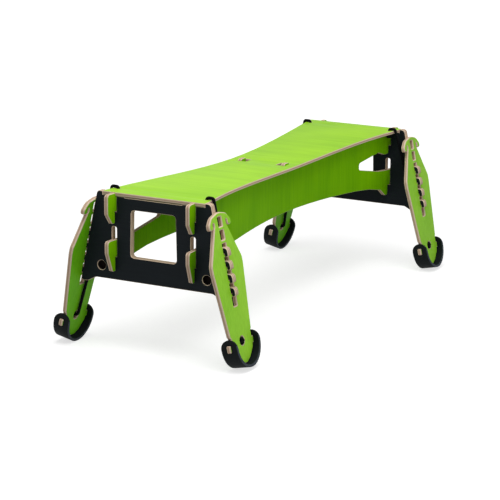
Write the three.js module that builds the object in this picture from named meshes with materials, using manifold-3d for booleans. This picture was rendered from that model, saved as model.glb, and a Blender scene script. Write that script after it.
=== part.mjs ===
// Mountain bike skinny: a low balance board of slotted plywood on four splayed legs.
// Lengths are in millimetres. X runs across the board, Y along it and Z up, and the floor is Z = 0.
import * as THREE from "three";
import { mergeVertices } from "three/addons/utils/BufferGeometryUtils.js";
import Module from "manifold-3d";

const wasm = await Module();
wasm.setup();

// Overall sizes
const deckHeight = 423.5; // top of the deck at its ends
const frameSpan = 1200; // between the outer faces of the two end frames
const splayDeg = 12.3; // lean of each leg away from upright

// Boards and their joints
const framePly = 18;
const beamPly = 12;
const legPly = 12;
const deckPly = 9;
const frameEase = 1.5; // chamfer round the end frames
const legEase = 2.5; // chamfer round the legs
const seatGap = 0.3; // between two pieces that rest against each other
const slotPlay = 0.5; // on each side of a board that passes through a slot
const cutOverrun = 60; // how far a cutting solid runs past what it cuts
const tightRound = 3; // corner of a small notch
const smallRound = 5; // corner of a slot or a fin
const softRound = 9; // corner that a hand meets
const broadRound = 16; // corner of an end frame's ear

// Deck
const deckEndHalfWidth = 154; // between the ears of an end frame
const deckWaistHalfWidth = 104.5;
const deckSag = 14; // drop of the middle of the deck
const deckFlatInset = 40; // flat end of the deck, from the outer face of a frame
const middleSlotLength = 34;
const middleSlotWidth = 28;

// End frame: drops are below the deck's top
const earWidth = 17; // of the ears beside the deck
const frameBottomDrop = 235.8;
const frameEarDrop = 13.7; // of the lower corners below the bottom edge
const lowEarWidth = 22;
const lowEarRun = 48;
const frameRecess = 2.5; // of the frame's top edge under the deck
const recessInset = 34; // the deck rests between here and the beam
const windowBottomInset = 50.2; // from the middle of a beam
const windowTopInset = 53.2;
const windowBottomDrop = 170.3;
const windowTopDrop = 42.6;
const cornerHoleInset = 11.4;
const cornerHoleDrop = 201.1;
const cornerHoleRadius = 13;
const cornerHoleDepth = 14;

// Beam: drops are below the deck's top, and insets from the outer face of a frame
const beamEndInset = 34; // middle of the beam at its ends, from the edge of the deck
const beamMiddleInset = 35.5; // middle of the beam at mid-length, from the edge of the deck
const beamEndSlope = 0.075; // sideways run of its ends per unit length
const finReach = 34; // of the fins past the outer face of a frame
const upperNeckDrop = 51;
const upperFinDrop = 2;
const upperFinShoulderDrop = 55;
const upperFinTipDrop = 82;
const lowerNeckTopDrop = 127;
const lowerNeckDrop = 173;
const lowerSlotDrop = 92;
const lowerFinShoulderDrop = 159;
const lowerFinTipDrop = 211;
const finTipWidth = 11;
const finStep = 3.5; // of the back of a fin below its slot
const spurGap = 9; // from an inner spur to the frame
const upperSpurDrop = 75.5;
const upperSpurWidth = 22;
const lowerSpurDrop = 203;
const lowerSpurWidth = 14;
const forkTopInset = 86; // of the open fork near the frame
const forkTopDrop = 63.7;
const forkTipInset = 195;
const forkTipTopDrop = 79;
const forkTipLowDrop = 99.5;
const forkKneeInset = 84;
const forkKneeDrop = 121.5;
const archDrop = 150; // underside of the beam at mid-length
const archBend = 19.5; // further drop of its long even curve
const archTurn = 12.5; // and of the quick turn at its ends
const archTurnPower = 9;
const archEndInset = 68;
const hookLength = 27; // of the middle hook along the board
const hookRise = 4.5; // of the middle hook above the deck

// Leg, on its own face: half widths, and places down it from deck height
const headTop = 21;
const headHalf = 54.5;
const headShoulder = 46;
const hookBottom = 60;
const hookInnerHalf = 36;
const hookNotchTop = 44;
const neckHalf = 29.5;
const neckPlace = 53;
const upperFlankHalf = 57.7;
const upperFlankPlace = 110;
const bellyHalf = 77.5;
const bellyTop = 149;
const bellyBottom = 168;
const ankleHalf = 55.5;
const ankleStep = 4.5; // inwards, so that the strap can sit outside
const cellTop = 32.7; // of the first cell of the ladder
const cellLength = 25.3;
const cellPitch = 34.7;
const cellCount = 7;
const cellRound = 2; // corner of a cell
const footHoleRadius = 11.5;
const pegLength = 19;
const pegReach = 65;
const toeHalf = 25;
const heelHalf = 48.5;
const tipHalf = 8;

// Places on a leg's foot: rises above the middle of its strap's round, and falls below it
const ankleRise = 29;
const footHoleRise = 8.8;
const heelFall = 19;
const toeFall = 43;
const tipFall = 51;

// Teeth of an end frame, which stand in four cells of each leg
const toothCount = 4;
const cellsAboveCount = 2; // empty cells over the teeth
const legDrop = 9; // that a leg slides down before it clears its teeth
const toothProud = 11; // past the outer face of the leg
const toothNose = 9; // corner of a tooth

// Foot strap
const strapWidth = 48;
const strapThickness = 6.5;
const strapHalf = 61; // outside, across the leg
const strapEndRadius = 24;
const strapSides = 16; // of the half ring round the foot
const groundFlat = 0.5; // worn flat where a strap meets the ground

// Shock cord and its knots
const cordDiameter = 8.4;
const cordSides = 8;
const cordUpperSteps = 7; // from the deck's edge to the foot of the frame
const cordLowerSteps = 3; // from there to the foot hole
const cordHoleInset = 20; // from the edge of the deck's end
const cordInset = 45.5; // from the outer face of a frame
const cordHoleRadius = 6;
const cordLift = 0.6; // clear of the deck and its edge
const cordTopBend = 5.8;
const cordFootBend = 9;
const cordClear = 1.2; // from the boards it passes
const upperKnotRadius = 10;
const upperKnotHeight = 14;
const lowerKnotPlay = 0.7; // in the foot hole
const lowerKnotProud = 3.5;

// Shares of a bend at which its points are set, and of a knot's outline
const bendShares = [1 / 3, 2 / 3, 1];
const knotWaistShare = 0.75;
const knotSides = 10;
const holeSides = 12;
const bowStations = 16;

// Worked out from the sizes above
const half = frameSpan / 2;
const frameInner = half - framePly;
const frameMiddle = half - framePly / 2;
const deckBottom = deckHeight - deckPly;
const landHeight = deckBottom - seatGap;
const splay = THREE.MathUtils.degToRad(splayDeg);
const frameTopHalfWidth = deckEndHalfWidth + seatGap + earWidth; // of the slanted edges at deck height
const frameEdge = -(legPly + seatGap); // slanted edge of a frame, from a leg's outer face
const legOuterX = frameTopHalfWidth + (legPly + seatGap) / Math.cos(splay);
const beamEndX = deckEndHalfWidth - beamEndInset;
const beamMiddleX = deckWaistHalfWidth - beamMiddleInset;
const endLeanShare = (beamEndSlope * half) / (beamEndX - beamMiddleX);
const slotHalf = beamPly / 2 + slotPlay + (beamEndSlope * framePly) / 2;
const flatEnd = half - deckFlatInset;
const cordRadius = cordDiameter / 2;
const cordY = half - cordInset;
const cordHoleX = deckEndHalfWidth - cordHoleInset;

// A strap's round is centred where its sole just reaches the ground.
const soleLean = (legPly / 2 + strapWidth / 2) * Math.sin(splay);
const strapCentre = (deckHeight + groundFlat - soleLean) / Math.cos(splay) - strapHalf;
const pegPlace = strapCentre;
const footHolePlace = strapCentre - footHoleRise;

const plyEdge = { roughness: 0.55, metalness: 0 };
const greenPly = () => new THREE.MeshStandardMaterial({ color: 0x8fcb35, ...plyEdge });
const blackPly = () => new THREE.MeshStandardMaterial({ color: 0x171c1f, ...plyEdge });
const rubber = () => new THREE.MeshStandardMaterial({ color: 0x1b1f24, roughness: 0.8, metalness: 0 });
const cordSheath = () => new THREE.MeshStandardMaterial({ color: 0x101214, roughness: 0.9, metalness: 0 });

// Turns a closed geometry into a solid that can be cut and joined.
function solidOf(geometry) {
  const bare = geometry.clone();
  bare.deleteAttribute("normal");
  bare.deleteAttribute("uv");
  const merged = mergeVertices(bare);
  return new wasm.Manifold(
    new wasm.Mesh({
      numProp: 3,
      vertProperties: merged.attributes.position.array,
      triVerts: new Uint32Array(merged.index.array),
    }),
  );
}

function geometryOf(solid) {
  const mesh = solid.getMesh();
  const geometry = new THREE.BufferGeometry();
  geometry.setAttribute("position", new THREE.BufferAttribute(new Float32Array(mesh.vertProperties), 3));
  geometry.setIndex(Array.from(mesh.triVerts));
  geometry.computeVertexNormals();
  return geometry;
}

// Draws a closed line of [x, y, corner radius] points, with an arc for each radius.
function outline(points, path = new THREE.Shape()) {
  const count = points.length;
  points.forEach(([x, y, radius = 0], i) => {
    const here = new THREE.Vector2(x, y);
    const [backX, backY] = points[(i + count - 1) % count];
    const [aheadX, aheadY] = points[(i + 1) % count];
    const back = new THREE.Vector2(backX, backY).sub(here);
    const ahead = new THREE.Vector2(aheadX, aheadY).sub(here);
    const go = (p) => (i === 0 ? path.moveTo(p.x, p.y) : path.lineTo(p.x, p.y));
    const angle = back.angleTo(ahead);
    const roomShare = 0.49;
    const reach = Math.min(radius / Math.tan(angle / 2), roomShare * back.length(), roomShare * ahead.length());
    if (!(reach > seatGap)) {
      go(here);
      return;
    }
    const bend = reach * Math.tan(angle / 2);
    back.normalize();
    ahead.normalize();
    const centre = back.clone().add(ahead).normalize().multiplyScalar(Math.hypot(reach, bend)).add(here);
    const start = here.clone().addScaledVector(back, reach);
    const end = here.clone().addScaledVector(ahead, reach);
    go(start);
    path.absarc(
      centre.x,
      centre.y,
      bend,
      Math.atan2(start.y - centre.y, start.x - centre.x),
      Math.atan2(end.y - centre.y, end.x - centre.x),
      back.cross(ahead) > 0,
    );
  });
  path.closePath();
  return path;
}

const mirrorAcross = (points) => points.map(([x, y, radius]) => [-x, y, radius]).reverse();
const mirrorUpDown = (points) => points.map(([x, y, radius]) => [x, -y, radius]).reverse();
const bothSides = (points) => [...points, ...mirrorAcross(points)];

const rectangle = (x, y, width, height, radius) => [
  [x - width / 2, y - height / 2, radius],
  [x + width / 2, y - height / 2, radius],
  [x + width / 2, y + height / 2, radius],
  [x - width / 2, y + height / 2, radius],
];
const opening = (...sizes) => outline(rectangle(...sizes), new THREE.Path());
const roundOpening = (x, y, radius) =>
  outline(
    Array.from({ length: holeSides }, (_, i) => {
      const turn = (2 * Math.PI * (i + 1 / 2)) / holeSides;
      return [x + radius * Math.cos(turn), y + radius * Math.sin(turn)];
    }),
    new THREE.Path(),
  );

// A flat board centred on its own mid-plane, narrower at both faces than at its middle by the ease.
function board(shape, ply, ease, sideways = ease) {
  return new THREE.ExtrudeGeometry(shape, {
    depth: ply - 2 * ease,
    bevelThickness: ease,
    bevelSize: sideways,
    bevelOffset: -sideways,
    bevelSegments: 1,
    curveSegments: 1,
  }).translate(0, 0, ease - ply / 2);
}

// Cuts an opening through a board and eases its rims like the board's own edges.
const cutThrough = (solid, shape, ply, ease) => solid.subtract(solidOf(board(shape, ply, ease, -ease)));

// A plain prism from one height to another along the normal of its outline.
function prism(shape, from, to, curveSegments = 2) {
  return new THREE.ExtrudeGeometry(shape, { depth: to - from, bevelEnabled: false, curveSegments }).translate(0, 0, from);
}

// Stands a prism up so that its outline is seen along X, or along Y.
const seenAlongX = new THREE.Matrix4().set(0, 0, 1, 0, 1, 0, 0, 0, 0, 1, 0, 0, 0, 0, 0, 1);
const seenAlongY = new THREE.Matrix4().set(1, 0, 0, 0, 0, 0, -1, 0, 0, 1, 0, 0, 0, 0, 0, 1);

// Share of its whole bend that a board has reached, from none at mid-length to all at its end.
function bendShare(share, leanShare) {
  const s = Math.min(Math.abs(share), 1);
  return (3 - leanShare) * s ** 2 - (2 - leanShare) * s ** 3;
}
const sagAt = (y) => deckSag * (1 - bendShare(y / flatEnd, 0));
const bowAt = (y) => beamMiddleX + (beamEndX - beamMiddleX) * bendShare(y / half, endLeanShare);
const stations = (end, count = bowStations) => Array.from({ length: count + 1 }, (_, i) => (end * (2 * i - count)) / count);

// Deck: a bent strip seen from the side, cut to its outline seen from above.
function deckGeometry() {
  const run = stations(flatEnd);
  const end = half + cutOverrun;
  const strip = outline([
    [-end, deckHeight],
    [-end, deckBottom],
    ...run.map((y) => [y, deckBottom - sagAt(y)]),
    [end, deckBottom],
    [end, deckHeight],
    ...run.reverse().map((y) => [y, deckHeight - sagAt(y)]),
  ]);
  const wide = deckEndHalfWidth + cutOverrun;
  const bent = solidOf(prism(strip, -wide, wide).applyMatrix4(seenAlongX));

  const waist = stations(frameInner).map((y) => [
    deckWaistHalfWidth + (deckEndHalfWidth - deckWaistHalfWidth) * (y / frameInner) ** 2,
    y,
  ]);
  const corner = [[deckEndHalfWidth, half, tightRound]];
  const plan = outline(bothSides([...mirrorUpDown(corner), ...waist, ...corner]));
  for (const x of [-1, 1]) {
    const hookSide = beamMiddleX + beamPly / 2 + slotPlay;
    plan.holes.push(opening(x * (hookSide - middleSlotWidth / 2), 0, middleSlotWidth, middleSlotLength, tightRound));
    for (const y of [-1, 1]) plan.holes.push(roundOpening(x * cordHoleX, y * cordY, cordHoleRadius));
  }
  return geometryOf(bent.intersect(solidOf(prism(plan, deckBottom - deckSag - cutOverrun, deckHeight + cutOverrun))));
}

// A place in the plane of an end frame, from a leg's outer face and down the leg.
const byLeg = (out, down) => [
  legOuterX + out * Math.cos(splay) + down * Math.sin(splay),
  deckHeight + out * Math.sin(splay) - down * Math.cos(splay),
];
const downAt = (z) => (deckHeight + frameEdge * Math.sin(splay) - z) / Math.cos(splay);

const frameLow = deckHeight - frameBottomDrop - frameEarDrop;

// End frame: ears and a land at the top, four hooked teeth down each slanted edge.
function frameGeometry(end) {
  const slotX = bowAt(frameMiddle);
  const teeth = Array.from({ length: toothCount }, (_, i) => {
    const top = cellTop + (cellsAboveCount + i) * cellPitch;
    const neckTop = top + legDrop + seatGap;
    const neckBottom = top + cellLength - seatGap;
    const noseBottom = top + cellLength + legDrop - seatGap;
    return [
      [...byLeg(frameEdge, neckTop), 0],
      [...byLeg(toothProud, neckTop), toothNose],
      [...byLeg(toothProud, noseBottom), toothNose],
      [...byLeg(seatGap, noseBottom), tightRound],
      [...byLeg(seatGap, neckBottom), 0],
      [...byLeg(frameEdge, neckBottom), 0],
    ];
  }).flat();
  const bottom = deckHeight - frameBottomDrop;
  const [lowCorner] = byLeg(frameEdge, downAt(frameLow));
  const recessHalfWidth = beamEndX - recessInset;
  const upperNeck = deckHeight - upperNeckDrop - seatGap;
  const right = [
    [recessHalfWidth, landHeight - frameRecess, 0],
    [recessHalfWidth, landHeight, 0],
    [slotX - slotHalf, landHeight, 0],
    [slotX - slotHalf, upperNeck, 0],
    [slotX + slotHalf, upperNeck, 0],
    [slotX + slotHalf, landHeight, 0],
    [frameTopHalfWidth - earWidth, landHeight, 0],
    [frameTopHalfWidth - earWidth, deckHeight, tightRound],
    [...byLeg(frameEdge, downAt(deckHeight)), softRound],
    ...teeth,
    [lowCorner, frameLow, smallRound],
    [lowCorner - lowEarWidth, frameLow, broadRound],
    [lowCorner - lowEarRun, bottom, broadRound],
  ];
  const window = bothSides([
    [beamEndX - windowBottomInset, deckHeight - windowBottomDrop, softRound],
    [beamEndX - windowTopInset, deckHeight - windowTopDrop, softRound],
  ]);
  const slotLow = deckHeight - lowerNeckDrop - seatGap;
  const slotHigh = deckHeight - lowerSlotDrop;

  // The blind corner holes are turned cutters with a flare at the mouth.
  const depth = framePly / 2 - cornerHoleDepth;
  const bore = [
    [0, depth],
    [cornerHoleRadius, depth],
    [cornerHoleRadius, framePly / 2 - frameEase],
    [cornerHoleRadius + frameEase, framePly / 2],
    [cornerHoleRadius + frameEase, framePly],
    [0, framePly],
  ].map(([x, y]) => new THREE.Vector2(x, y));
  let solid = cutThrough(solidOf(board(outline(bothSides(right)), framePly, frameEase)), outline(window), framePly, frameEase);
  for (const side of [-1, 1]) {
    const slot = rectangle(side * slotX, (slotLow + slotHigh) / 2, 2 * slotHalf, slotHigh - slotLow, smallRound);
    slot[0][2] = slot[1][2] = 0;
    solid = cutThrough(solid, outline(slot), framePly, frameEase);
    const cutter = new THREE.LatheGeometry(bore, 2 * holeSides)
      .rotateX(Math.PI / 2)
      .translate(side * (frameTopHalfWidth - cornerHoleInset), deckHeight - cornerHoleDrop, 0);
    solid = solid.subtract(solidOf(cutter));
  }
  return geometryOf(solid).applyMatrix4(seenAlongY).rotateZ(end < 0 ? 0 : Math.PI);
}

// Beam: a strip bowed inwards, seen from above, cut to its forked outline seen from the side.
function beamGeometry(side) {
  const reach = half + finReach;
  const run = stations(half + finReach, bowStations + 4);
  const centre = (y) =>
    Math.abs(y) < half ? bowAt(y) : beamEndX + (Math.abs(y) - half) * beamEndSlope;
  const face = (offset) =>
    run.map((y) => {
      const lean = Math.atan(((centre(y + beamPly) - centre(y - beamPly)) / beamPly) / 2);
      return [side * (centre(y) + offset / Math.cos(lean)), y];
    });
  const plan = outline([...face(-beamPly / 2), ...face(beamPly / 2).reverse()]);
  const low = deckHeight - lowerFinTipDrop;
  const strip = solidOf(prism(plan, low - cutOverrun, deckHeight + cutOverrun));

  const top = deckBottom - seatGap;
  const crown = deckHeight - sagAt(0) + hookRise;
  const front = half + seatGap;
  const back = frameInner - spurGap;
  const drop = (fall) => deckHeight - fall;
  const topRun = stations(flatEnd).filter((y) => y > hookLength);
  const archEnd = half - archEndInset;
  const arch = stations(archEnd)
    .filter((y) => y > 0)
    .map((y) => [y, drop(archDrop + archBend * (y / archEnd) ** 2 + archTurn * (y / archEnd) ** archTurnPower)]);
  const end = [
    ...arch,
    [back - lowerSpurWidth, drop(lowerSpurDrop), smallRound],
    [back, drop(lowerSpurDrop), smallRound],
    [back, drop(lowerNeckDrop), 0],
    [front, drop(lowerNeckDrop), 0],
    [front + finStep, drop(lowerNeckDrop), 0],
    [front + finStep, low, tightRound],
    [front + finStep + finTipWidth, low, smallRound],
    [reach, drop(lowerFinShoulderDrop), softRound],
    [reach, drop(lowerNeckTopDrop), softRound],
    [frameInner, drop(lowerNeckTopDrop), 0],
    [half - forkKneeInset, drop(forkKneeDrop), softRound],
    [half - forkTipInset, drop(forkTipLowDrop), softRound],
    [half - forkTipInset, drop(forkTipTopDrop), softRound],
    [half - forkTopInset, drop(forkTopDrop), softRound],
    [back - upperSpurWidth, drop(upperSpurDrop), smallRound],
    [back, drop(upperSpurDrop), smallRound],
    [back, drop(upperNeckDrop), 0],
    [front, drop(upperNeckDrop), 0],
    [front + finStep, drop(upperNeckDrop), 0],
    [front + finStep, drop(upperFinTipDrop), tightRound],
    [front + finStep + finTipWidth, drop(upperFinTipDrop), smallRound],
    [reach, drop(upperFinShoulderDrop), softRound],
    [reach, drop(upperFinDrop), softRound],
    [front, drop(upperFinDrop), tightRound],
    [front, top, 0],
    ...topRun.reverse().map((y) => [y, top - sagAt(y)]),
    [hookLength / 2, top - sagAt(0), 0],
    [hookLength / 2, crown, smallRound],
  ];
  const nearEnd = end.map(([y, z, radius]) => [-y, z, radius]).reverse();
  const view = outline([[0, drop(archDrop)], ...end, ...nearEnd]);
  const inner = side * (beamMiddleX - cutOverrun);
  const outer = side * (beamEndX + cutOverrun);
  const sheet = solidOf(prism(view, Math.min(inner, outer), Math.max(inner, outer)).applyMatrix4(seenAlongX));
  return geometryOf(strip.intersect(sheet));
}

// Leg: a domed head with two hooks, a ladder of cells, a belly and a foot with two tabs.
function legGeometry() {
  const right = [
    [tipHalf, -strapCentre - tipFall, smallRound],
    [toeHalf, -strapCentre - toeFall, softRound],
    [heelHalf, -strapCentre - heelFall, softRound],
    [ankleHalf - ankleStep, -pegPlace - pegLength / 2, 0],
    [pegReach, -pegPlace - pegLength / 2, tightRound],
    [pegReach, -pegPlace + pegLength / 2, tightRound],
    [ankleHalf - ankleStep, -pegPlace + pegLength / 2, 0],
    [ankleHalf - ankleStep, ankleRise - strapCentre - ankleStep, 0],
    [ankleHalf, ankleRise - strapCentre, 0],
    [bellyHalf, -bellyBottom, strapEndRadius],
    [bellyHalf, -bellyTop, strapEndRadius],
    [upperFlankHalf, -upperFlankPlace, 0],
    [neckHalf, -neckPlace, softRound],
    [neckHalf, -hookNotchTop, tightRound],
    [hookInnerHalf, -hookNotchTop, tightRound],
    [hookInnerHalf, -hookBottom, smallRound],
    [headHalf, -hookBottom, smallRound],
    [headHalf, -headShoulder, softRound],
    [headHalf * Math.SQRT1_2, (-headShoulder - headTop) / 2 + smallRound, strapEndRadius],
    [tipHalf, -headTop, softRound],
  ];
  const shape = outline(bothSides(right));
  for (let i = 0; i < cellCount; i++) {
    const middle = cellTop + i * cellPitch + cellLength / 2;
    shape.holes.push(opening(0, -middle, framePly + 2 * slotPlay, cellLength, cellRound));
  }
  shape.holes.push(roundOpening(0, -footHolePlace, footHoleRadius));
  return board(shape, legPly, legEase).translate(0, 0, -legPly / 2);
}

// Foot strap: a rubber band that hugs the foot, with a round end over each tab.
function strapGeometry() {
  const arc = (radius) =>
    Array.from({ length: strapSides + 1 }, (_, i) => {
      const turn = (Math.PI * i) / strapSides;
      return [radius * Math.cos(turn), -strapCentre - radius * Math.sin(turn)];
    });
  const inner = strapHalf - strapThickness;
  const loop = [
    [strapHalf, -strapCentre + strapWidth],
    ...arc(strapHalf),
    [-strapHalf, -strapCentre + strapWidth],
    [-inner, -strapCentre + strapWidth],
    ...arc(inner).reverse(),
    [inner, -strapCentre + strapWidth],
  ];
  const band = solidOf(prism(outline(loop), -strapWidth / 2, strapWidth / 2));
  const across = new THREE.Matrix4().set(0, 0, 1, 0, 0, 1, 0, 0, -1, 0, 0, 0, 0, 0, 0, 1);
  const long = strapHalf + cutOverrun;
  const sole = -strapCentre - strapHalf - cutOverrun;
  const ends = outline([
    [-strapWidth / 2, sole],
    [strapWidth / 2, sole],
    [strapWidth / 2, -strapCentre + strapEndRadius, strapEndRadius],
    [-strapWidth / 2, -strapCentre + strapEndRadius, strapEndRadius],
  ]);
  const tab = outline(rectangle(0, -pegPlace, legPly + 2 * slotPlay, pegLength + 2 * slotPlay, seatGap));
  const rounded = band.intersect(solidOf(prism(ends, -long, long, 3).applyMatrix4(across)));
  const strap = rounded.subtract(solidOf(prism(tab, -long, long).applyMatrix4(across)));
  const ground = solidOf(
    new THREE.BoxGeometry(2 * long, 2 * long, 2 * long).translate(0, 0, -long).applyMatrix4(standOnLeg(1, 1).invert()),
  );
  const lifted = solidOf(geometryOf(strap).translate(0, 0, -legPly / 2));
  return geometryOf(lifted.subtract(ground));
}

// Sets a piece that is drawn on a leg's outer face where that face is.
function standOnLeg(side, end) {
  return new THREE.Matrix4()
    .makeBasis(
      new THREE.Vector3(0, side, 0),
      new THREE.Vector3(-side * Math.sin(splay), 0, Math.cos(splay)),
      new THREE.Vector3(side * Math.cos(splay), 0, Math.sin(splay)),
    )
    .setPosition(side * legOuterX, end * frameMiddle, deckHeight);
}

// A route whose rings stand at its own points.
class CordRoute extends THREE.CatmullRomCurve3 {
  getUtoTmapping(u) {
    return u;
  }
}

// Shock cord: up through the deck, over its edge, past the foot of the frame and down behind the leg.
function cordGeometry(side, end) {
  const deckEdge = deckWaistHalfWidth + (deckEndHalfWidth - deckWaistHalfWidth) * ((cordY + cordRadius) / frameInner) ** 2;
  const edgeX = deckEdge + cordLift + cordRadius;
  const topZ = deckHeight + cordLift + cordRadius;
  const knotFace = -(legPly - cordRadius - seatGap);
  const behind = -(legPly + cordRadius + cordClear);
  const toWorld = standOnLeg(1, 1);
  const onLeg = (down, out) => new THREE.Vector3(0, -down, out).applyMatrix4(toWorld);
  const last = onLeg(footHolePlace - cordFootBend, behind);
  const pass = onLeg(downAt(frameLow), behind).setY(frameInner - cordRadius - cordClear);
  const rise = (share) => new THREE.Vector3(
    cordHoleX + cordTopBend * (1 - Math.cos((Math.PI / 2) * share)),
    cordY,
    topZ - cordTopBend * (1 - Math.sin((Math.PI / 2) * share)),
  );
  const fall = (share) => new THREE.Vector3(
    edgeX - cordTopBend * (1 - Math.sin((Math.PI / 2) * share)),
    cordY,
    topZ - cordTopBend * (1 - Math.cos((Math.PI / 2) * share)),
  );
  const foot = (share) => onLeg(
    footHolePlace - cordFootBend * (1 - Math.sin((Math.PI / 2) * share)),
    behind + cordFootBend * (1 - Math.cos((Math.PI / 2) * share)),
  );
  const over = fall(1);
  const run = (from, to, steps) => Array.from({ length: steps }, (_, i) => from.clone().lerp(to, (i + 1) / steps));
  const points = [
    new THREE.Vector3(cordHoleX, cordY, deckBottom),
    rise(0),
    ...bendShares.map(rise),
    fall(0),
    ...bendShares.map(fall),
    ...run(over, pass, cordUpperSteps),
    ...run(pass, last, cordLowerSteps),
    ...bendShares.map(foot),
    onLeg(footHolePlace, Math.max(knotFace, behind + cordFootBend + seatGap)),
  ];
  const placed = points.map((p) => new THREE.Vector3(side * p.x, end * p.y, p.z));
  const section = new THREE.Shape().absarc(0, 0, cordRadius, 0, 2 * Math.PI);
  return new THREE.ExtrudeGeometry(section, {
    steps: placed.length - 1,
    extrudePath: new CordRoute(placed),
    curveSegments: cordSides / 2,
  });
}

// A knot: a turned form drawn from its axis, out to its waist and back.
function knotGeometry(radius, from, to) {
  const middle = (from + to) / 2;
  const profile = [
    [0, from],
    [radius * knotWaistShare, from],
    [radius, (from + middle) / 2],
    [radius, (to + middle) / 2],
    [radius * knotWaistShare, to],
    [0, to],
  ];
  return new THREE.LatheGeometry(profile.map(([x, y]) => new THREE.Vector2(x, y)), knotSides).rotateX(Math.PI / 2);
}

function piece(name, geometry, material, parent) {
  const mesh = new THREE.Mesh(geometry, material);
  mesh.name = name;
  parent.add(mesh);
  return mesh;
}

const skinny = new THREE.Group();
piece("deck", deckGeometry(), greenPly(), skinny);
for (const [end, name] of [[-1, "front"], [1, "rear"]])
  piece(`end_frame_${name}`, frameGeometry(end), blackPly(), skinny).position.y = end * frameMiddle;
for (const [side, name] of [[-1, "left"], [1, "right"]]) piece(`beam_${name}`, beamGeometry(side), greenPly(), skinny);

for (const [end, endName] of [[-1, "front"], [1, "rear"]])
  for (const [side, sideName] of [[-1, "left"], [1, "right"]]) {
    const place = `${endName}_${sideName}`;
    const stand = new THREE.Group();
    stand.applyMatrix4(standOnLeg(side, end));
    skinny.add(stand);
    piece(`leg_${place}`, legGeometry(), greenPly(), stand);
    piece(`foot_strap_${place}`, strapGeometry(), rubber(), stand);
    const knotBack = -(legPly - cordRadius - seatGap) + 2 * seatGap;
    piece(`lower_knot_${place}`, knotGeometry(footHoleRadius - lowerKnotPlay, knotBack, lowerKnotProud), cordSheath(), stand).position.y = -footHolePlace;
    piece(
      `upper_knot_${place}`,
      knotGeometry(upperKnotRadius, -upperKnotHeight, 0),
      cordSheath(),
      skinny,
    ).position.set(side * cordHoleX, end * cordY, deckBottom - seatGap);
    piece(`shock_cord_${place}`, cordGeometry(side, end), cordSheath(), skinny);
  }

export default skinny;
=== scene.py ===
"""Dresses a mountain bike skinny: stained plywood boards, rubber foot straps and shock cords."""

import math

import bmesh
import bpy
from bpy.props import FloatProperty, FloatVectorProperty, IntProperty, PointerProperty
from mathutils import Matrix, Vector


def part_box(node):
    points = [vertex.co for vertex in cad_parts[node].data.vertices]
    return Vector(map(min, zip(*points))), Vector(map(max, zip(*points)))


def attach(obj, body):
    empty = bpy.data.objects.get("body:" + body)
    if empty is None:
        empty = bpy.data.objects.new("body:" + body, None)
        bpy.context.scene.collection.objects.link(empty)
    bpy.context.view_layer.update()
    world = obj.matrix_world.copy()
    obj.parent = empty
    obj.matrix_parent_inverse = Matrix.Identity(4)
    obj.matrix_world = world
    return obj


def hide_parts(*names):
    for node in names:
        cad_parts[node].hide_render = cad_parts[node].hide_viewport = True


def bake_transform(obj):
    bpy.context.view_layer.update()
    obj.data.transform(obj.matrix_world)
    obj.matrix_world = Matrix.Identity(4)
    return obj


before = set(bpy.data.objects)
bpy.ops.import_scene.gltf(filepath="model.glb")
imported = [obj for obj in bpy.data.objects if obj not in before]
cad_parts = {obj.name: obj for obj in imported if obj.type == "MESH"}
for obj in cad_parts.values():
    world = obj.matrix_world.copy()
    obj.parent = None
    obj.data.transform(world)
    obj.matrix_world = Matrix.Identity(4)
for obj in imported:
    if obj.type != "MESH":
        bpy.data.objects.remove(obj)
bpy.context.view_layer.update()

bl_info = {
    "name": "Mountain bike skinny",
    "version": (1, 0, 0),
    "blender": (4, 5, 0),
    "location": "3D View > Sidebar > Skinny",
    "description": "Finishes the boards, straps and cords of a slot-together mountain bike skinny",
    "category": "Object",
}

# Sizes that the looks share with the boards, in metres
HALF_SPAN = 0.600  # outer face of an end frame
DECK_HEIGHT = 0.4235
DECK_PLY = 0.009
DECK_END_X = 0.154
DECK_WAIST_X = 0.1045
DECK_SAG = 0.014
DECK_FLAT_INSET = 0.040  # flat stretch at each end
BEAM_PLY = 0.012
BEAM_END_X = 0.120
BEAM_MIDDLE_X = 0.069
FIN_REACH = 0.034  # of a beam past the end frame
FRAME_PLY = 0.018
FRAME_FOOT = 0.174  # lowest edge of an end frame
FRAME_TOP_X = 0.1713  # slanted edge of an end frame at deck height
CORNER_HOLE = (0.1599, 0.2224, 0.013)  # across, up and its radius
LEG_PLY = 0.012
SEAT_GAP = 0.0003  # between a leg and the slanted edge
FOOT_HOLE_PLACE = 0.35762  # down a leg from deck height
STRAP_WIDTH = 0.048

# Slopes of the legs and beams, and the straight runs that make up each bend
SPLAY = math.radians(12.3)
BEAM_END_SLOPE = 0.075
DECK_RUNS = 16
BEAM_RUNS = 20

# Shock cord route, in metres
CORD_RADIUS = 0.0042
CORD_HOLE_X = 0.134
CORD_INSET = 0.0455  # from the outer face of a frame
CORD_LIFT = 0.0006  # clear of the deck and its edge
CORD_CLEAR = 0.0012  # from the boards that it passes
CORD_TOP_BEND = 0.0058
CORD_FOOT_BEND = 0.009
CORD_KNOT_FACE = 0.0055  # where it meets its knot, in from a leg's outer face

# Points along the cord and round it, and the repeats of its braid
CORD_BEND_STEPS = 7
CORD_UPPER_STEPS = 22
CORD_LOWER_STEPS = 9
CORD_SIDES = 16
BRAID_REPEATS = 4  # round the cord
BRAID_LENGTH = 0.012  # of one repeat along it, in metres

ENDS = {"front": -1, "rear": 1}
SIDES = {"left": -1, "right": 1}
PLACES = [(f"{end}_{side}", SIDES[side], ENDS[end]) for end in ENDS for side in SIDES]

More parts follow.
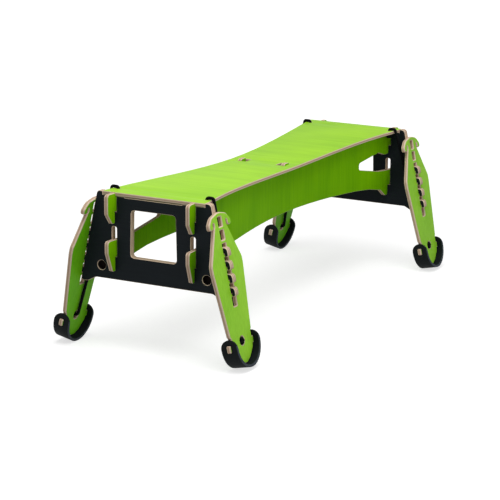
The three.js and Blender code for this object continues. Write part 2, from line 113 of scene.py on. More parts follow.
# Mesh work, with lengths in metres
SHARP_ANGLE = math.radians(31)  # an edge that bends more is rounded, and stays sharp
CHAMFER_ANGLE = math.radians(50)  # more than an edge of a chamfer bends
FLAT_ANGLE = math.radians(0.25)  # faces that differ less are joined
WELD_DISTANCE = 2e-5
FULL_FACE_WEIGHT = 100
STRAP_ROUND = 0.0013
STRAP_ROUND_STEPS = 3


def srgb(red, green, blue):
    """A colour written as 0 to 255 in the picture's own scale, as Blender's linear numbers."""
    shares = [value / 255 for value in (red, green, blue)]
    return tuple(s / 12.92 if s <= 0.04045 else ((s + 0.055) / 1.055) ** 2.4 for s in shares)


def shaded(colour, share):
    """A colour with each of its parts at a share of what it was."""
    return [share * part for part in colour]


def grey(level):
    return (level,) * 3


def bend_share(share, lean):
    """How much of its whole bend a board has at a share of its half length: at its end it slopes by lean."""
    s = min(abs(share), 1)
    return (3 - lean) * s**2 - (2 - lean) * s**3


def sag_at(y):
    return DECK_SAG * (1 - bend_share(y / (HALF_SPAN - DECK_FLAT_INSET), 0))


def bow_at(y):
    spread = BEAM_END_X - BEAM_MIDDLE_X
    lean = BEAM_END_SLOPE * HALF_SPAN / spread
    past = max(abs(y) - HALF_SPAN, 0)
    return BEAM_MIDDLE_X + spread * bend_share(y / HALF_SPAN, lean) + past * BEAM_END_SLOPE


def on_run(curve, y, reach, runs):
    """A curve's value where straight runs between evenly spaced stations stand in for it."""
    run = 2 * reach / runs
    start = math.floor((y + reach) / run) * run - reach
    share = (y - start) / run
    return curve(start) * (1 - share) + curve(start + run) * share


def leg_outward(side):
    """The direction that a leg's outer face looks in."""
    return Vector((side * math.cos(SPLAY), 0, math.sin(SPLAY)))


def leg_point(side, end, down, out):
    """A place on a leg: down it from deck height and out from its outer face."""
    face_x = FRAME_TOP_X + (LEG_PLY + SEAT_GAP) / math.cos(SPLAY)
    top = Vector((side * face_x, end * (HALF_SPAN - FRAME_PLY / 2), DECK_HEIGHT))
    along = Vector((side * math.sin(SPLAY), 0, -math.cos(SPLAY)))
    return top + down * along + out * leg_outward(side)


class SkinnyFinish(bpy.types.PropertyGroup):
    """Colours and edges of the boards, straps and cords."""

    deck_stain: FloatVectorProperty(
        name="Deck stain", description="Stain on the deck",
        subtype="COLOR", size=3, default=srgb(158, 212, 10), min=0, max=1)
    deck_deep: FloatVectorProperty(
        name="Deep deck stain", description="Stain where the grain of the deck drinks it in",
        subtype="COLOR", size=3, default=srgb(135, 193, 4), min=0, max=1)
    # Painted sheen: the outer leg stain is paler and bluer, standing in for the sheen on the lit outer faces
    leg_stain_painted_sheen: FloatVectorProperty(
        name="Leg stain", description="Stain on the outer face of a leg, paled by use",
        subtype="COLOR", size=3, default=srgb(155, 216, 50), min=0, max=1)
    leg_deep_painted_sheen: FloatVectorProperty(
        name="Deep leg stain", description="Stain where the grain of a leg drinks it in",
        subtype="COLOR", size=3, default=srgb(134, 197, 36), min=0, max=1)
    # Painted shade: the inner leg stain is darker and greener, standing in for the shade on the inner faces
    inner_stain_painted_shade: FloatVectorProperty(
        name="Inner stain", description="Fresh stain on the inner face of a leg",
        subtype="COLOR", size=3, default=srgb(116, 198, 2), min=0, max=1)
    inner_deep_painted_shade: FloatVectorProperty(
        name="Deep inner stain", description="Fresh stain where the grain drinks it in",
        subtype="COLOR", size=3, default=srgb(99, 181, 1), min=0, max=1)
    # Painted shade: the beam stain is darker and greener than the deck's, standing in for the shade on the
    # beams' sides under the deck
    beam_stain_painted_shade: FloatVectorProperty(
        name="Beam stain", description="Stain on the beams, laid on thicker",
        subtype="COLOR", size=3, default=srgb(126, 193, 2), min=0, max=1)
    beam_deep_painted_shade: FloatVectorProperty(
        name="Deep beam stain", description="Stain where the grain of a beam drinks it in",
        subtype="COLOR", size=3, default=srgb(106, 174, 1), min=0, max=1)
    black_stain: FloatVectorProperty(
        name="Black stain", description="Stain on the end frames",
        subtype="COLOR", size=3, default=srgb(20, 26, 30), min=0, max=1)
    bare_ply: FloatVectorProperty(
        name="Bare ply", description="Pale veneers in a board's edge",
        subtype="COLOR", size=3, default=srgb(226, 205, 182), min=0, max=1)
    core_ply: FloatVectorProperty(
        name="Core ply", description="Cross-grain veneers in a board's edge",
        subtype="COLOR", size=3, default=srgb(170, 137, 109), min=0, max=1)
    # Painted shade: a dark colour deep in the blind corner holes, standing in for the shade that falls there
    painted_hole_shade: FloatVectorProperty(
        name="Hole floor", description="Dark floor of the blind corner holes",
        subtype="COLOR", size=3, default=srgb(20, 12, 8), min=0, max=1)
    rubber: FloatVectorProperty(
        name="Rubber", description="Foot straps",
        subtype="COLOR", size=3, default=srgb(13, 19, 20), min=0, max=1)
    # Painted highlight: the rim colour stands partly for light caught on the strap's rounded rims, and partly
    # for real scuffs
    rubber_rim_wear_and_highlight: FloatVectorProperty(
        name="Rubber rim", description="Scuffed rim of a foot strap",
        subtype="COLOR", size=3, default=srgb(66, 72, 80), min=0, max=1)
    sheath: FloatVectorProperty(
        name="Cord sheath", description="Braided cover of the shock cord",
        subtype="COLOR", size=3, default=srgb(9, 10, 12), min=0, max=1)
    edge_round: FloatProperty(
        name="Edge rounding", description="Roundover on the deck and beams",
        subtype="DISTANCE", unit="LENGTH", default=0.0026, min=0, max=0.004)
    round_steps: IntProperty(
        name="Rounding steps", description="Facets in each rounded edge", default=3, min=1, max=6)


class SkinnyStage(bpy.types.PropertyGroup):
    """Light and camera round the board."""

    key_power: FloatProperty(
        name="Key light", description="Power of the large lamp overhead",
        subtype="POWER", unit="POWER", default=86, min=0)
    side_power: FloatProperty(
        name="Side light", description="Power of the soft lamp at the camera's side",
        subtype="POWER", unit="POWER", default=14, min=0)
    ambient: FloatProperty(
        name="Ambient", description="Strength of the even light from all round", default=0.3, min=0)
    lens: FloatProperty(
        name="Lens", description="Focal length on a sensor 36 mm wide",
        subtype="DISTANCE_CAMERA", default=147.69, min=20)


class Wire:
    """A socket that can be used in Python sums: each operator adds its Math node."""

    def __init__(self, sheet, socket):
        self.sheet = sheet
        self.socket = socket

    def _math(self, operation, *values, clamp=False):
        return self.sheet.node(
            "ShaderNodeMath", {"operation": operation, "use_clamp": clamp}, dict(enumerate(values)))["Value"]

    def __add__(self, other):
        return self._math("ADD", self, other)

    __radd__ = __add__

    def __sub__(self, other):
        return self._math("SUBTRACT", self, other)

    def __rsub__(self, other):
        return self._math("SUBTRACT", other, self)

    def __mul__(self, other):
        return self._math("MULTIPLY", self, other)

    __rmul__ = __mul__

    def __truediv__(self, other):
        return self._math("DIVIDE", self, other)

    def sine(self):
        return self._math("SINE", self)

    def size(self):
        return self._math("ABSOLUTE", self)

    def clamped(self):
        return self._math("ADD", self, 0, clamp=True)


class Made:
    """A node just made, whose outputs are taken by name or number."""

    def __init__(self, sheet, node):
        self.sheet = sheet
        self.node = node

    def __getitem__(self, key):
        return Wire(self.sheet, self.node.outputs[key])


# Sockets of a Mix node that blends colours
MIX_SHARE, MIX_LOW, MIX_HIGH = 0, 6, 7
MIX_RESULT = 2

NOISE_ROUGHNESS = 0.55


class Sheet:
    """The node tree of one material or of the world."""

    def __init__(self, owner):
        owner.use_nodes = True
        self.tree = owner.node_tree
        self.tree.nodes.clear()

    def node(self, kind, settings=None, sockets=None):
        """Adds a node: its settings first, then a value or a link for each socket."""
        node = self.tree.nodes.new(kind)
        for name, value in (settings or {}).items():
            setattr(node, name, value)
        for key, value in (sockets or {}).items():
            target = node.inputs[key]
            if isinstance(value, Wire):
                self.tree.links.new(value.socket, target)
            else:
                target.default_value = value
        return Made(self, node)

    def blend_colours(self, share, low, high):
        """A colour between two, by a share."""
        return self.node(
            "ShaderNodeMix", {"data_type": "RGBA"},
            {MIX_SHARE: share, MIX_LOW: opaque(low), MIX_HIGH: opaque(high)})[MIX_RESULT]

    def attribute(self, name):
        return self.node("ShaderNodeAttribute", {"attribute_name": name})["Fac"]

    def noise(self, place, waves, detail):
        """Noise from 0 to 1, with the given number of waves per metre on each axis."""
        moved = self.node("ShaderNodeVectorMath", {"operation": "MULTIPLY"}, {0: place, 1: waves})["Vector"]
        return self.node(
            "ShaderNodeTexNoise", {"noise_dimensions": "3D"},
            {"Vector": moved, "Scale": 1.0, "Detail": detail, "Roughness": NOISE_ROUGHNESS})["Fac"]

    def bump(self, height, strength, distance):
        return self.node(
            "ShaderNodeBump", {}, {"Strength": strength, "Distance": distance, "Height": height})["Normal"]

    def finish_surface(self, shader):
        self.node("ShaderNodeOutputMaterial", {}, {"Surface": shader})


def opaque(colour):
    return colour if isinstance(colour, Wire) else (*tuple(colour)[:3], 1.0)


# Waves per metre in plywood, few of them along the grain
GRAIN_STREAKS = {"X": (7, 260, 260), "Z": (260, 260, 7)}
GRAIN_FIGURE = {"X": (2.2, 26, 26), "Z": (26, 26, 2.2)}
PORES = (900, 900, 900)
CLOUDS = (6, 6, 6)

# How far each draws the deep stain in, less the level at which that starts
SOAK_STREAKS = 1.7
SOAK_FIGURE = 0.9
SOAK_CLOUDS = 1.6
SOAK_START = 1.6

# Places off the middle of the ply, as shares of it: stain reaches in to one, and the painted shade of a blind
# hole out to the other
STAIN_DEPTH = 0.478
STAIN_BLEND = 0.016
HOLE_SHADE_REACH = 0.389
HOLE_SHADE_BLEND = 0.067

# Veneers in an edge: how sharply they change, and how pale they and the pores make it
VENEER_CONTRAST = 1.6
EDGE_VENEERS = 0.6
EDGE_PORES = 0.5
EDGE_DARKENING = 0.05

# Relief and gloss of the plywood
STREAK_HEIGHT = 0.6
VENEER_HEIGHT = 0.8
PORE_HEIGHT = 0.25
EDGE_ROUGHNESS = 0.8
FACE_SMOOTHING = 0.2
STREAK_ROUGHNESS = 0.12
PLY_BUMP = (0.35, 0.00025)  # strength, and depth in metres


def stained_ply(name, stain, veneers, grain, sheen, inner=None):
    """Plywood: stain over the grain on both faces, bare veneers in every edge and a dark painted shade deep
    in blind holes.

    A stain is its light and its deep colour. The inner face has its own where one is given, which paints
    shade on it.
    """
    finish = bpy.context.scene.skinny_finish
    material = bpy.data.materials.new(name)
    sheet = Sheet(material)
    place = sheet.node("ShaderNodeTexCoord")["Object"]
    layer = sheet.attribute("layer")
    streaks = sheet.noise(place, GRAIN_STREAKS[grain], 3.0)
    figure = sheet.noise(place, GRAIN_FIGURE[grain], 2.0)
    clouds = sheet.noise(place, CLOUDS, 1.0)
    pores = sheet.noise(place, PORES, 1.0)

    soak = (SOAK_STREAKS * streaks + SOAK_FIGURE * figure + SOAK_CLOUDS * clouds - SOAK_START).clamped()
    tint = sheet.blend_colours(soak, *stain)
    # Painted shade: the inner face takes its own darker stain
    if inner:
        shaded_inner_share = (1 - layer * 2).clamped()
        tint = sheet.blend_colours(shaded_inner_share, tint, sheet.blend_colours(soak, *inner))
    off_middle = (layer - 0.5).size()
    face = ((off_middle - STAIN_DEPTH) / STAIN_BLEND).clamped()
    veneer = ((layer * (math.pi * veneers)).sine() * VENEER_CONTRAST + 0.5).clamped()
    end_grain = (veneer * EDGE_VENEERS + pores * EDGE_PORES - EDGE_DARKENING).clamped()
    edge = sheet.blend_colours(end_grain, finish.core_ply, finish.bare_ply)
    sound = sheet.blend_colours(face, edge, tint)
    # Painted shade: darker the deeper a point lies in a blind hole
    hole_shade_share = (sheet.attribute("hollow") * (HOLE_SHADE_REACH - off_middle) / HOLE_SHADE_BLEND).clamped()
    height = streaks * face * STREAK_HEIGHT + veneer * (1 - face) * VENEER_HEIGHT + pores * PORE_HEIGHT
    shader = sheet.node("ShaderNodeBsdfPrincipled", {}, {
        "Base Color": sheet.blend_colours(hole_shade_share, sound, finish.painted_hole_shade),
        "Roughness": (EDGE_ROUGHNESS - FACE_SMOOTHING * face + STREAK_ROUGHNESS * (streaks - 0.5)).clamped(),
        "Specular IOR Level": sheen,
        "Normal": sheet.bump(height, *PLY_BUMP),
    })["BSDF"]
    sheet.finish_surface(shader)
    return material


# Places across a strap, as shares of its half width, where the scuffed rim with its painted highlight starts
RIM_START = 0.9
RIM_BLEND = 0.06

# Waves per metre in the rubber, and how they wear its rims; the rims are also paler as a painted highlight
SCUFFS = (170, 170, 170)
SPECKS = (1400, 1400, 1400)
RIM_WEAR_AND_HIGHLIGHT = 0.35
SCUFF_WEAR = 0.9

# Relief and gloss of the rubber
SCUFF_HEIGHT = 2
RUBBER_ROUGHNESS = 0.52
SCUFF_ROUGHNESS = 0.3
RUBBER_SHEEN = 0.1
RUBBER_BUMP = (0.25, 0.0002)  # strength, and depth in metres


def moulded_rubber(name):
    """Matt black rubber, scuffed to grey along its rims and paler there as a painted highlight."""
    finish = bpy.context.scene.skinny_finish
    material = bpy.data.materials.new(name)
    sheet = Sheet(material)
    place = sheet.node("ShaderNodeTexCoord")["Object"]
    rim = ((sheet.attribute("across").size() - RIM_START) / RIM_BLEND).clamped()
    scuff = sheet.noise(place, SCUFFS, 3.0)
    speck = sheet.noise(place, SPECKS, 1.0)
    # Painted highlight and real scuffs: the rims are lighter
    worn_and_highlit = (rim * (RIM_WEAR_AND_HIGHLIGHT + SCUFF_WEAR * scuff)).clamped()
    shader = sheet.node("ShaderNodeBsdfPrincipled", {}, {
        "Base Color": sheet.blend_colours(worn_and_highlit, finish.rubber, finish.rubber_rim_wear_and_highlight),
        "Roughness": (RUBBER_ROUGHNESS + SCUFF_ROUGHNESS * scuff).clamped(),
        "Specular IOR Level": RUBBER_SHEEN,
        "Normal": sheet.bump(speck + scuff * SCUFF_HEIGHT, *RUBBER_BUMP),
    })["BSDF"]
    sheet.finish_surface(shader)
    return material


# Shares of the sheath's colour between its strands and on top of them: painted shade between them and a
# painted highlight on top
BRAID_PAINTED_SHADE = 0.45
BRAID_PAINTED_HIGHLIGHT = 1.5

# Relief and gloss of the sheath
SHEATH_ROUGHNESS = 0.82
STRAND_SMOOTHING = 0.2
SHEATH_SHEEN = 0.05
SHEATH_BUMP = (0.6, 0.0004)  # strength, and depth in metres


def braided_sheath(name):
    """Braided cord cover: two sets of strands that cross in diamonds, painted darker between the strands and
    lighter on top.
    """
    finish = bpy.context.scene.skinny_finish
    material = bpy.data.materials.new(name)
    sheet = Sheet(material)
    uv = sheet.node("ShaderNodeUVMap", {"uv_map": "braid"})["UV"]
    parts = sheet.node("ShaderNodeSeparateXYZ", {}, {0: uv})
    turn = 2 * math.pi
    left = (parts["X"] * turn + parts["Y"] * turn).sine()
    right = (parts["X"] * turn - parts["Y"] * turn).sine()
    weave = (left * right * 0.5 + 0.5).clamped()
    shader = sheet.node("ShaderNodeBsdfPrincipled", {}, {
        "Base Color": sheet.blend_colours(
            weave, shaded(finish.sheath, BRAID_PAINTED_SHADE), shaded(finish.sheath, BRAID_PAINTED_HIGHLIGHT)),
        "Roughness": (SHEATH_ROUGHNESS - STRAND_SMOOTHING * weave).clamped(),
        "Specular IOR Level": SHEATH_SHEEN,
        "Normal": sheet.bump(weave, *SHEATH_BUMP),
    })["BSDF"]
    sheet.finish_surface(shader)
    return material


def shared_material(name, make, **looks):
    """The material of that name, made the first time that it is asked for."""
    return bpy.data.materials.get(name) or make(name, **looks)


def link(name, mesh, material):
    piece = bpy.data.objects.new(name, mesh)
    bpy.context.scene.collection.objects.link(piece)
    mesh.materials.append(material)
    return piece


def smooth(mesh, sharp_angle=SHARP_ANGLE):
    """Soft shading that keeps the real edges."""
    mesh.shade_smooth()
    mesh.set_sharp_from_angle(angle=sharp_angle)


def bake_modifiers(piece):
    """Makes the shown mesh the piece's own."""
    bpy.context.view_layer.update()
    done = bpy.data.meshes.new_from_object(piece.evaluated_get(bpy.context.evaluated_depsgraph_get()))
    piece.modifiers.clear()
    piece.data = done
    done.name = piece.name


def welded_copy(node, name, material, join_faces=False):
    """A piece copied from a solid, its doubled points welded and, where asked, its flat faces joined."""
    mesh = bpy.data.meshes.new(name)
    work = bmesh.new()
    work.from_mesh(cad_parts[node].data)
    bmesh.ops.remove_doubles(work, verts=work.verts, dist=WELD_DISTANCE)
    if join_faces:
        bmesh.ops.dissolve_limit(
            work, angle_limit=FLAT_ANGLE, verts=work.verts, edges=work.edges, delimit=set())
    work.to_mesh(mesh)
    work.free()
    return link(name, mesh, material)


def chamfered_copy(node, name, material):
    """A chamfered board, shaded so that each chamfer reads as a rounded edge."""
    piece = welded_copy(node, name, material)
    smooth(piece.data, CHAMFER_ANGLE)
    weighted = piece.modifiers.new("Face weights", "WEIGHTED_NORMAL")
    weighted.keep_sharp = True
    weighted.weight = FULL_FACE_WEIGHT
    bake_modifiers(piece)
    return piece


def rounded_copy(node, name, material, width, steps):
    """A piece with its flat faces joined and its edges rounded."""
    piece = welded_copy(node, name, material, join_faces=True)
    if width > 0:
        bevel = piece.modifiers.new("Rounded edge", "BEVEL")
        bevel.width = width
        bevel.segments = steps
        bevel.limit_method = "ANGLE"
        bevel.angle_limit = SHARP_ANGLE
        bevel.use_clamp_overlap = True
        bevel.loop_slide = True
        bevel.miter_outer = "MITER_ARC" if steps > 1 else "MITER_SHARP"
        bake_modifiers(piece)
    smooth(piece.data)
    return piece


def store(piece, name, value):
    """Stores a number on each point of a piece, for its material to read."""
    attribute = piece.data.attributes.new(name, "FLOAT", "POINT")
    attribute.data.foreach_set("value", [value(v.co) for v in piece.data.vertices])


def in_corner_hole(p):
    """1 for a point of an end frame that lies in a blind corner hole, and 0 for any other."""
    across, up, radius = CORNER_HOLE
    return float(math.hypot(abs(p.x) - across, p.z - up) < radius + WELD_DISTANCE)


def settle(piece, body, node):
    """Puts a finished piece in its node's place, on the body that carries it if a single one does."""
    if body:
        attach(piece, body)
    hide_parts(node)


# Each board's "layer" is a point's depth through its ply, from 0 at one face to 1 at the other.


class SKINNY_OT_deck(bpy.types.Operator):
    """Finish the deck: green stain, bare rounded edges and grain across it"""

    bl_idname = "skinny.deck"
    bl_label = "Deck"

    def execute(self, context):
        finish = context.scene.skinny_finish
        ply = shared_material(
            "deck_ply", stained_ply, stain=(finish.deck_stain, finish.deck_deep),
            veneers=3, grain="X", sheen=0.38)
        deck = rounded_copy("deck", "deck_board", ply, finish.edge_round, finish.round_steps)

        def layer(p):
            sag = on_run(sag_at, p.y, HALF_SPAN - DECK_FLAT_INSET, DECK_RUNS)
            return (p.z - DECK_HEIGHT + DECK_PLY + sag) / DECK_PLY

        store(deck, "layer", layer)
        settle(deck, "board", "deck")
        return {"FINISHED"}


class SKINNY_OT_beams(bpy.types.Operator):
    """Finish the two bowed beams"""

    bl_idname = "skinny.beams"
    bl_label = "Beams"

    def execute(self, context):
        finish = context.scene.skinny_finish
        # Painted shade in the darker beam stain
        ply = shared_material(
            "beam_ply", stained_ply, stain=(finish.beam_stain_painted_shade, finish.beam_deep_painted_shade),
            veneers=3, grain="Z", sheen=0.03)

        def layer(p):
            middle = on_run(bow_at, p.y, HALF_SPAN + FIN_REACH, BEAM_RUNS)
            return (abs(p.x) - middle) / BEAM_PLY + 0.5

        for side in SIDES:
            beam = rounded_copy(
                f"beam_{side}", f"beam_board_{side}", ply, finish.edge_round, finish.round_steps)
            store(beam, "layer", layer)
            settle(beam, "board", f"beam_{side}")
        return {"FINISHED"}


DEEP_BLACK = 0.7  # of the black stain, where the grain drinks it in


class SKINNY_OT_end_frames(bpy.types.Operator):
    """Finish the two black end frames"""

    bl_idname = "skinny.end_frames"
    bl_label = "End frames"

    def execute(self, context):
        finish = context.scene.skinny_finish
        ply = shared_material(
            "end_frame_ply", stained_ply,
            stain=(finish.black_stain, shaded(finish.black_stain, DEEP_BLACK)),
            veneers=5, grain="X", sheen=0.1)
        for end in ENDS:
            node = f"end_frame_{end}"
            board = chamfered_copy(node, f"end_frame_board_{end}", ply)
            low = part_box(node)[0].y
            store(board, "layer", lambda p: (p.y - low) / FRAME_PLY)
            # The hollow points take the painted shade of the corner holes
            store(board, "hollow", in_corner_hole)
            settle(board, "board", node)
        return {"FINISHED"}


class SKINNY_OT_legs(bpy.types.Operator):
    """Finish the four legs"""

    bl_idname = "skinny.legs"
    bl_label = "Legs"

    def execute(self, context):
        finish = context.scene.skinny_finish
        # Painted sheen in the paler outer stain, and painted shade in the darker inner stain
        ply = shared_material(
            "leg_ply", stained_ply, stain=(finish.leg_stain_painted_sheen, finish.leg_deep_painted_sheen),
            veneers=3, grain="Z", sheen=0.26, inner=(finish.inner_stain_painted_shade, finish.inner_deep_painted_shade))
        for place, side, end in PLACES:
            leg = chamfered_copy(f"leg_{place}", f"leg_board_{place}", ply)
            outward = leg_outward(side)
            inner = leg_point(side, end, 0, -LEG_PLY).dot(outward)
            store(leg, "layer", lambda p: (p.dot(outward) - inner) / LEG_PLY)
            settle(leg, f"stand_{place}", f"leg_{place}")
        return {"FINISHED"}


class SKINNY_OT_foot_straps(bpy.types.Operator):
    """Finish the rubber straps round the feet"""

    bl_idname = "skinny.foot_straps"
    bl_label = "Foot straps"

    def execute(self, context):
        rubber = shared_material("moulded_black_rubber", moulded_rubber)
        for place, side, end in PLACES:
            strap = rounded_copy(
                f"foot_strap_{place}", f"strap_{place}", rubber, STRAP_ROUND, STRAP_ROUND_STEPS)
            outward = leg_outward(side)
            middle = leg_point(side, end, 0, -LEG_PLY / 2).dot(outward)
            store(strap, "across", lambda p: (p.dot(outward) - middle) / (STRAP_WIDTH / 2))
            settle(strap, f"stand_{place}", f"foot_strap_{place}")
        return {"FINISHED"}


# Angles of the steps in a quarter bend
BEND_ANGLES = [math.pi / 2 * step / CORD_BEND_STEPS for step in range(CORD_BEND_STEPS + 1)]


def cord_points(side, end):
    """The cord's middle line: up through the deck, over its edge, past the frame and down behind the leg.

    It is worked out at the rear right leg, and mirrored from there to each of the others.
    """
    y = HALF_SPAN - CORD_INSET
    frame_inner = HALF_SPAN - FRAME_PLY
    deck_edge = DECK_WAIST_X + (DECK_END_X - DECK_WAIST_X) * ((y + CORD_RADIUS) / frame_inner) ** 2
    edge_x = deck_edge + CORD_LIFT + CORD_RADIUS
    top = DECK_HEIGHT + CORD_LIFT + CORD_RADIUS
    behind = -(LEG_PLY + CORD_RADIUS + CORD_CLEAR)
    points = [Vector((CORD_HOLE_X, y, DECK_HEIGHT - DECK_PLY))]
    for a in BEND_ANGLES:
        points.append(Vector((
            CORD_HOLE_X + CORD_TOP_BEND * (1 - math.cos(a)), y, top - CORD_TOP_BEND * (1 - math.sin(a)))))
    for a in BEND_ANGLES:
        points.append(Vector((
            edge_x - CORD_TOP_BEND * (1 - math.sin(a)), y, top - CORD_TOP_BEND * (1 - math.cos(a)))))
    over = points[-1]
    frame_edge = -(LEG_PLY + SEAT_GAP)
    foot_of_frame = (DECK_HEIGHT + frame_edge * math.sin(SPLAY) - FRAME_FOOT) / math.cos(SPLAY)
    passing = leg_point(1, 1, foot_of_frame, behind)
    passing.y = frame_inner - CORD_RADIUS - CORD_CLEAR
    foot = leg_point(1, 1, FOOT_HOLE_PLACE - CORD_FOOT_BEND, behind)
    points += [over.lerp(passing, (i + 1) / CORD_UPPER_STEPS) for i in range(CORD_UPPER_STEPS)]
    points += [passing.lerp(foot, (i + 1) / CORD_LOWER_STEPS) for i in range(CORD_LOWER_STEPS)]
    for a in BEND_ANGLES[1:]:
        points.append(leg_point(
            1, 1, FOOT_HOLE_PLACE - CORD_FOOT_BEND * (1 - math.sin(a)),
            behind + CORD_FOOT_BEND * (1 - math.cos(a))))
    points.append(leg_point(1, 1, FOOT_HOLE_PLACE, -CORD_KNOT_FACE))
    return [Vector((side * p.x, end * p.y, p.z)) for p in points]


def rings_along(work, points, radius, sides, closed):
    """A ring of vertices across a line at each of its points, each turned no more than the line bends."""
    count = len(points)
    rings = []
    normal = None
    for i, point in enumerate(points):
        before = points[i - 1] if closed or i else point
        after = points[(i + 1) % count] if closed or i + 1 < count else point
        direction = (after - before).normalized()
        if normal is None:
            normal = direction.orthogonal().normalized()
        normal = (normal - direction * normal.dot(direction)).normalized()
        across = direction.cross(normal)
        rings.append([
            work.verts.new(point + radius * (
                math.cos(2 * math.pi * k / sides) * normal + math.sin(2 * math.pi * k / sides) * across))
            for k in range(sides)])
    return rings


def braided_tube(name, points, radius, sides, closed=False):
    """A round tube along a line of points, in the cord's sheath, with the braid laid out over it."""
    work = bmesh.new()
    rings = rings_along(work, points, radius, sides, closed)
    travelled = [0.0]
    for before, after in zip(points, points[1:]):
        travelled.append(travelled[-1] + (after - before).length)
    if closed:
        travelled.append(travelled[-1] + (points[0] - points[-1]).length)
        rings.append(rings[0])
    uv = work.loops.layers.uv.new("braid")
    for i, (low, high) in enumerate(zip(rings, rings[1:])):
        near, far = travelled[i], travelled[i + 1]
        for k in range(sides):
            face = work.faces.new((low[k], low[(k + 1) % sides], high[(k + 1) % sides], high[k]))
            corners = ((k, near), (k + 1, near), (k + 1, far), (k, far))
            for loop, (step, along) in zip(face.loops, corners):
                loop[uv].uv = (BRAID_REPEATS * step / sides, along / BRAID_LENGTH)
    if not closed:
        work.faces.new(reversed(rings[0]))
        work.faces.new(rings[-1])
    bmesh.ops.recalc_face_normals(work, faces=work.faces)
    mesh = bpy.data.meshes.new(name)
    work.to_mesh(mesh)
    work.free()
    piece = link(name, mesh, shared_material("braided_black_sheath", braided_sheath))
    smooth(mesh)
    return piece


class SKINNY_OT_shock_cords(bpy.types.Operator):
    """Run a braided shock cord from the deck to each foot"""

    bl_idname = "skinny.shock_cords"
    bl_label = "Shock cords"

    def execute(self, context):
        for place, side, end in PLACES:
            points = cord_points(side, end)
            cord = braided_tube(f"cord_{place}", points, CORD_RADIUS, CORD_SIDES)
            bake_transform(cord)
            settle(cord, None, f"shock_cord_{place}")
        return {"FINISHED"}


# A knot's strand goes twice round it, and swings in and out and over and under five times
KNOT_TURNS = 2
KNOT_LOOPS = 5
KNOT_SWING_SHARE = 0.2  # of the knot's radius
KNOT_STEPS = 96
KNOT_SIDES = 10

# Knot sizes, in metres
KNOT_STRAND = 0.0034
UPPER_KNOT_RADIUS = 0.0098
LOWER_KNOT_RADIUS = 0.0105
LOWER_KNOT_DEPTH = 0.0104


def knot_loop(centre, axis, radius, depth):
    """The strand of a closed round knot, as the points of its middle line."""
    axis = axis.normalized()
    right = axis.orthogonal().normalized()
    up = axis.cross(right)
    reach = radius - KNOT_STRAND
    swing = reach * KNOT_SWING_SHARE
    rise = depth / 2 - KNOT_STRAND
    points = []
    for i in range(KNOT_STEPS):
        turn = 2 * math.pi * KNOT_TURNS * i / KNOT_STEPS
        loop = turn * KNOT_LOOPS / KNOT_TURNS
        out = reach - swing + swing * math.cos(loop)
        points.append(
            centre
            + right * out * math.cos(turn)
            + up * out * math.sin(turn)
            + axis * rise * math.sin(loop))
    return points


class SKINNY_OT_knots(bpy.types.Operator):
    """Tie the cord ends under the deck and in the feet"""

    bl_idname = "skinny.knots"
    bl_label = "Knots"

    def execute(self, context):
        for place, side, _ in PLACES:
            low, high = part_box(f"upper_knot_{place}")
            self.tie("upper", place, "board", Vector((0, 0, 1)), UPPER_KNOT_RADIUS, high.z - low.z)
            self.tie("lower", place, f"stand_{place}", leg_outward(side), LOWER_KNOT_RADIUS, LOWER_KNOT_DEPTH)
        return {"FINISHED"}

    def tie(self, height, place, body, axis, radius, depth):
        """Ties one knot in the middle of its node's box."""
        node = f"{height}_knot_{place}"
        low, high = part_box(node)
        points = knot_loop((low + high) / 2, axis, radius, depth)
        knot = braided_tube(f"knot_{height}_{place}", points, KNOT_STRAND, KNOT_SIDES, closed=True)
        settle(knot, body, node)


# Camera, in metres and radians
CAMERA_PLACE = (2.694, -5.015, 1.5745)
CAMERA_YAW = math.radians(28.61)
CAMERA_PITCH = math.radians(-14.02)
CAMERA_ROLL = 0.0064
CAMERA_REACH = 200  # it sees nothing beyond this
SENSOR_WIDTH = 36  # in millimetres, as its lens is

# Floor and lamps, in metres
FLOOR_HALF = 60
FLOOR_DROP = 0.0002
KEY_LAMP = (2.6, (0.6, -0.8, 3.2), (0, 0, 0.2))  # its size, its place and what it is aimed at
SIDE_LAMP = (2.2, (3.4, -1.2, 1.6), (0, 0, 0.25))

# The floor's finish, with a glow that grows from the near to the far level as it gets further out
FLOOR_GREY = 0.5
FLOOR_ROUGHNESS = 0.9
NEAR_GLOW = 0.66  # round the board, which leaves room for its shadow
FAR_GLOW = 0.9  # out of the lamps' reach
GLOW_START = 1.0  # from the middle, in metres
GLOW_RUN = 2.5  # from there to the far level


def backdrop_glow(sheet, seen, unseen):
    """A colour that only the camera, glossy and clear rays see, over a grey level for the rest."""
    path = sheet.node("ShaderNodeLightPath")
    straight = (path["Is Camera Ray"] + path["Is Glossy Ray"] + path["Is Transmission Ray"]).clamped()
    return sheet.blend_colours(straight, grey(unseen), seen)


def aim(thing, place, target):
    thing.location = place
    thing.rotation_euler = (Vector(target) - Vector(place)).to_track_quat("-Z", "Y").to_euler()


def camera_turn():
    """The camera's turn: yawed and pitched from facing along Y, then rolled."""
    forward = Vector((
        -math.sin(CAMERA_YAW) * math.cos(CAMERA_PITCH),
        math.cos(CAMERA_YAW) * math.cos(CAMERA_PITCH),
        math.sin(CAMERA_PITCH)))
    right = forward.cross(Vector((0, 0, 1))).normalized()
    up = right.cross(forward)
    turned_right = math.cos(CAMERA_ROLL) * right + math.sin(CAMERA_ROLL) * up
    turned_up = -math.sin(CAMERA_ROLL) * right + math.cos(CAMERA_ROLL) * up
    return Matrix((turned_right, turned_up, -forward)).transposed().to_4x4()


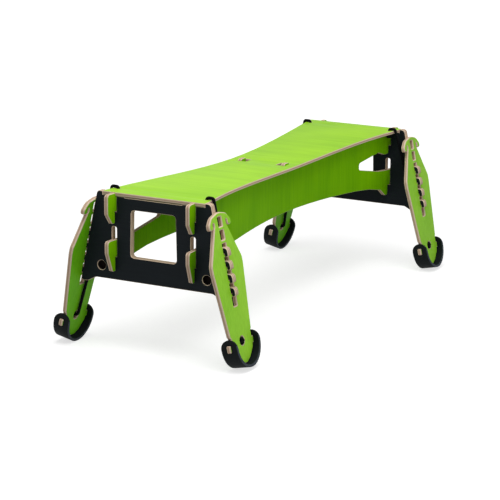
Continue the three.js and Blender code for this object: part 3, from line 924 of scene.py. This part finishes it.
class SKINNY_OT_stage(bpy.types.Operator):
    """Set up the pale floor, the soft light and the camera"""

    bl_idname = "skinny.stage"
    bl_label = "Stage"

    def execute(self, context):
        self.lay_floor()
        self.light_world(context)
        stage = context.scene.skinny_stage
        self.hang_lamp(context, "key", stage.key_power, *KEY_LAMP)
        self.hang_lamp(context, "side", stage.side_power, *SIDE_LAMP)
        self.place_camera(context)
        context.scene.view_settings.view_transform = "Standard"
        return {"FINISHED"}

    def lay_floor(self):
        mesh = bpy.data.meshes.new("floor")
        corners = ((-1, -1), (1, -1), (1, 1), (-1, 1))
        mesh.from_pydata(
            [(x * FLOOR_HALF, y * FLOOR_HALF, -FLOOR_DROP) for x, y in corners], [], [(0, 1, 2, 3)])
        material = bpy.data.materials.new("studio_floor")
        sheet = Sheet(material)
        place = sheet.node("ShaderNodeTexCoord")["Object"]
        away = sheet.node("ShaderNodeVectorMath", {"operation": "LENGTH"}, {0: place})["Value"]
        far = ((away - GLOW_START) / GLOW_RUN).clamped()
        glow = sheet.blend_colours(far, grey(NEAR_GLOW), grey(FAR_GLOW))
        shader = sheet.node("ShaderNodeBsdfPrincipled", {}, {
            "Base Color": opaque(grey(FLOOR_GREY)),
            "Roughness": FLOOR_ROUGHNESS,
            "Emission Color": backdrop_glow(sheet, glow, 0.0),
            "Emission Strength": 1.0,
        })["BSDF"]
        sheet.finish_surface(shader)
        link("floor", mesh, material)

    def light_world(self, context):
        world = bpy.data.worlds.new("studio")
        context.scene.world = world
        sheet = Sheet(world)
        colour = backdrop_glow(sheet, grey(1.0), context.scene.skinny_stage.ambient)
        shader = sheet.node("ShaderNodeBackground", {}, {"Color": colour, "Strength": 1.0})
        sheet.node("ShaderNodeOutputWorld", {}, {"Surface": shader["Background"]})

    def hang_lamp(self, context, name, power, size, place, target):
        lamp = bpy.data.lights.new(name, "AREA")
        lamp.energy = power
        lamp.size = size
        holder = bpy.data.objects.new(name, lamp)
        context.scene.collection.objects.link(holder)
        aim(holder, place, target)

    def place_camera(self, context):
        camera = bpy.data.cameras.new("camera")
        camera.sensor_fit = "HORIZONTAL"
        camera.sensor_width = SENSOR_WIDTH
        camera.lens = context.scene.skinny_stage.lens
        camera.clip_end = CAMERA_REACH
        holder = bpy.data.objects.new("camera", camera)
        context.scene.collection.objects.link(holder)
        holder.matrix_world = Matrix.Translation(CAMERA_PLACE) @ camera_turn()
        context.scene.camera = holder


class SKINNY_PT_panel(bpy.types.Panel):
    """Lists the steps that dress the board."""

    bl_label = "Skinny"
    bl_idname = "SKINNY_PT_panel"
    bl_space_type = "VIEW_3D"
    bl_region_type = "UI"
    bl_category = "Skinny"

    def draw(self, context):
        for group in (context.scene.skinny_finish, context.scene.skinny_stage):
            box = self.layout.box()
            for name in group.__annotations__:
                box.prop(group, name)
        for operator in OPERATORS:
            self.layout.operator(operator.bl_idname)


OPERATORS = (
    SKINNY_OT_stage,
    SKINNY_OT_shock_cords,
    SKINNY_OT_knots,
    SKINNY_OT_deck,
    SKINNY_OT_beams,
    SKINNY_OT_end_frames,
    SKINNY_OT_legs,
    SKINNY_OT_foot_straps,
)
CLASSES = (SkinnyFinish, SkinnyStage, *OPERATORS, SKINNY_PT_panel)


def register():
    for made in CLASSES:
        bpy.utils.register_class(made)
    bpy.types.Scene.skinny_finish = PointerProperty(type=SkinnyFinish)
    bpy.types.Scene.skinny_stage = PointerProperty(type=SkinnyStage)


def unregister():
    del bpy.types.Scene.skinny_stage
    del bpy.types.Scene.skinny_finish
    for made in reversed(CLASSES):
        bpy.utils.unregister_class(made)


def main():
    register()
    for operator in OPERATORS:
        group, step = operator.bl_idname.split(".")
        getattr(getattr(bpy.ops, group), step)()
    bpy.context.view_layer.update()


if __name__ == "__main__":
    main()
